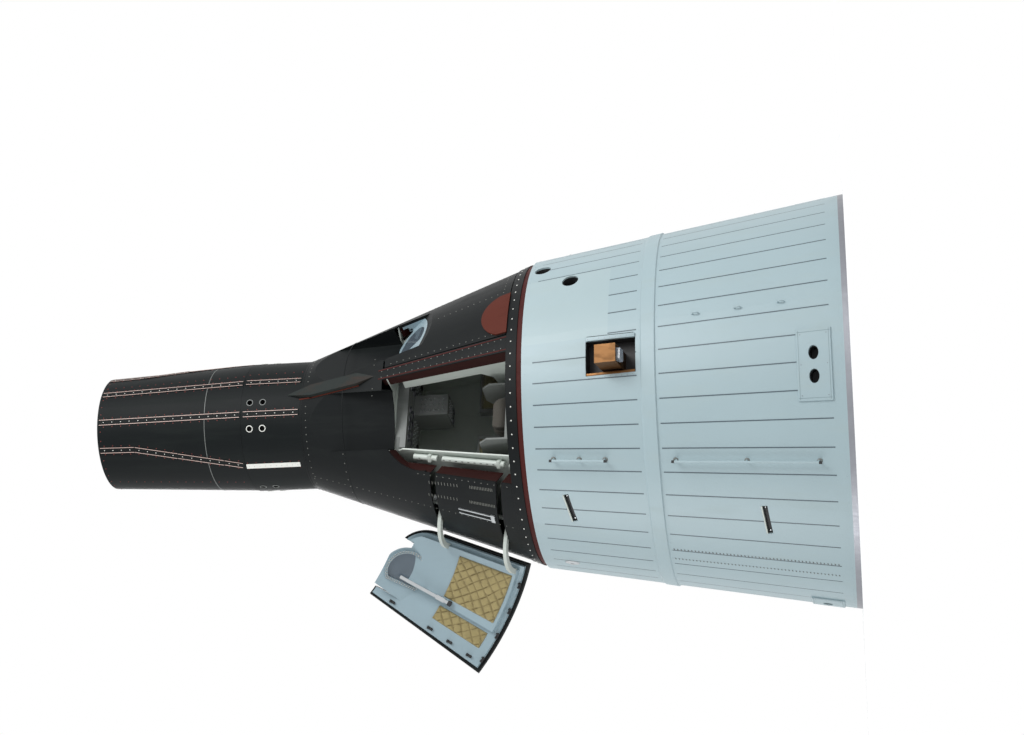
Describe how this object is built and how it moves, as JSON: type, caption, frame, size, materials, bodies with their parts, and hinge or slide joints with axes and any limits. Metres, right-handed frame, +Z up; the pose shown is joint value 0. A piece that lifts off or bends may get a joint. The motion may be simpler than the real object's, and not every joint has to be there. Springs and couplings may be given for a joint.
{
  "type": "two-seat space capsule",
  "caption": "Upright two-seat orbital capsule: white flared adapter, black cone cabin with two hinged hatches and seats, thruster cylinder and tapered nose.",
  "frame": {"origin": "centre of the base ring's lower face, on the floor that the capsule stands on", "axes": "+Z up the long axis to the nose, -Y the hatch side, +X the crew's right-hand side"},
  "size_m": [3.2819, 3.048, 5.736],
  "materials": {
    "adapter_white": "satin white paint",
    "cabin_grey": "satin grey paint",
    "cabin_white": "satin white paint",
    "copper": "copper-coloured foil",
    "dark": "matt dark",
    "glass": "clear",
    "gold_foil": "crinkled gold foil",
    "hatch_inner": "satin pale blue-white paint",
    "pad_fabric": "quilted tan cloth",
    "red_brown": "matt brown-red paint",
    "ring_metal": "bare metal",
    "seat_cloth": "olive cloth",
    "shield": "matt red-brown",
    "skin_black": "satin black",
    "steel": "bare"
  },
  "bodies": {
    "capsule": {"adapter_thrusters": "dark", "aft_bulkhead": "cabin_white", "base_ring": "ring_metal", "cabin_aft_ring": "skin_black", "cabin_ridge": "skin_black", "cabin_skin": "skin_black", "cabin_tub": "cabin_white", "cable_cover": "red_brown", "centre_console": "cabin_grey", "centre_web": "cabin_white", "curtain_port": "dark", "cylinder_bars": "adapter_white", "cylinder_straps": "red_brown", "cylinder_thrusters": "dark", "equipment_box": "copper", "equipment_section": "adapter_white", "foil_curtain": "gold_foil", "forward_bulkhead": "cabin_white", "guide_loops": "adapter_white", "handrails": "adapter_white", "hatch_bearings": "steel", "hatch_coamings": "cabin_white", "hatch_sills": "cabin_white", "headrests": "cabin_grey", "heat_shield": "shield", "hinge_rails": "steel", "instrument_panel": "cabin_grey", "light_recesses": "cabin_grey", "nose_cap": "skin_black", "nose_section": "skin_black", "nose_straps": "red_brown", "retro_section": "adapter_white", "seat_cushions": "seat_cloth", "seats": "cabin_white", "sensor_head": "copper", "sensor_lens": "glass", "sensor_well": "dark", "separation_band": "adapter_white", "side_pads": "seat_cloth", "thruster_panels": "adapter_white", "thruster_section": "skin_black", "window_troughs": "skin_black"},
    "left_hatch": {"left_hatch_arms": "cabin_white", "left_hatch_glass": "glass", "left_hatch_latch_bar": "steel", "left_hatch_pads": "pad_fabric", "left_hatch_pan": "hatch_inner", "left_hatch_skin": "skin_black", "left_hatch_window_frame": "hatch_inner"},
    "right_hatch": {"right_hatch_arms": "cabin_white", "right_hatch_glass": "glass", "right_hatch_latch_bar": "steel", "right_hatch_pads": "pad_fabric", "right_hatch_pan": "hatch_inner", "right_hatch_skin": "skin_black", "right_hatch_window_frame": "hatch_inner"}
  },
  "joints": [
    {"name": "left_hatch_hinge", "type": "hinge", "parent": "capsule", "child": "left_hatch", "pos_m": [-0.83302, -0.11707, 2.8], "axis": [0.3021, 0.0425, 0.9523], "range_deg": [0, 176]},
    {"name": "right_hatch_hinge", "type": "hinge", "parent": "capsule", "child": "right_hatch", "pos_m": [0.83302, -0.11707, 2.8], "axis": [-0.3021, 0.0425, 0.9523], "range_deg": [0, 176]}
  ]
}
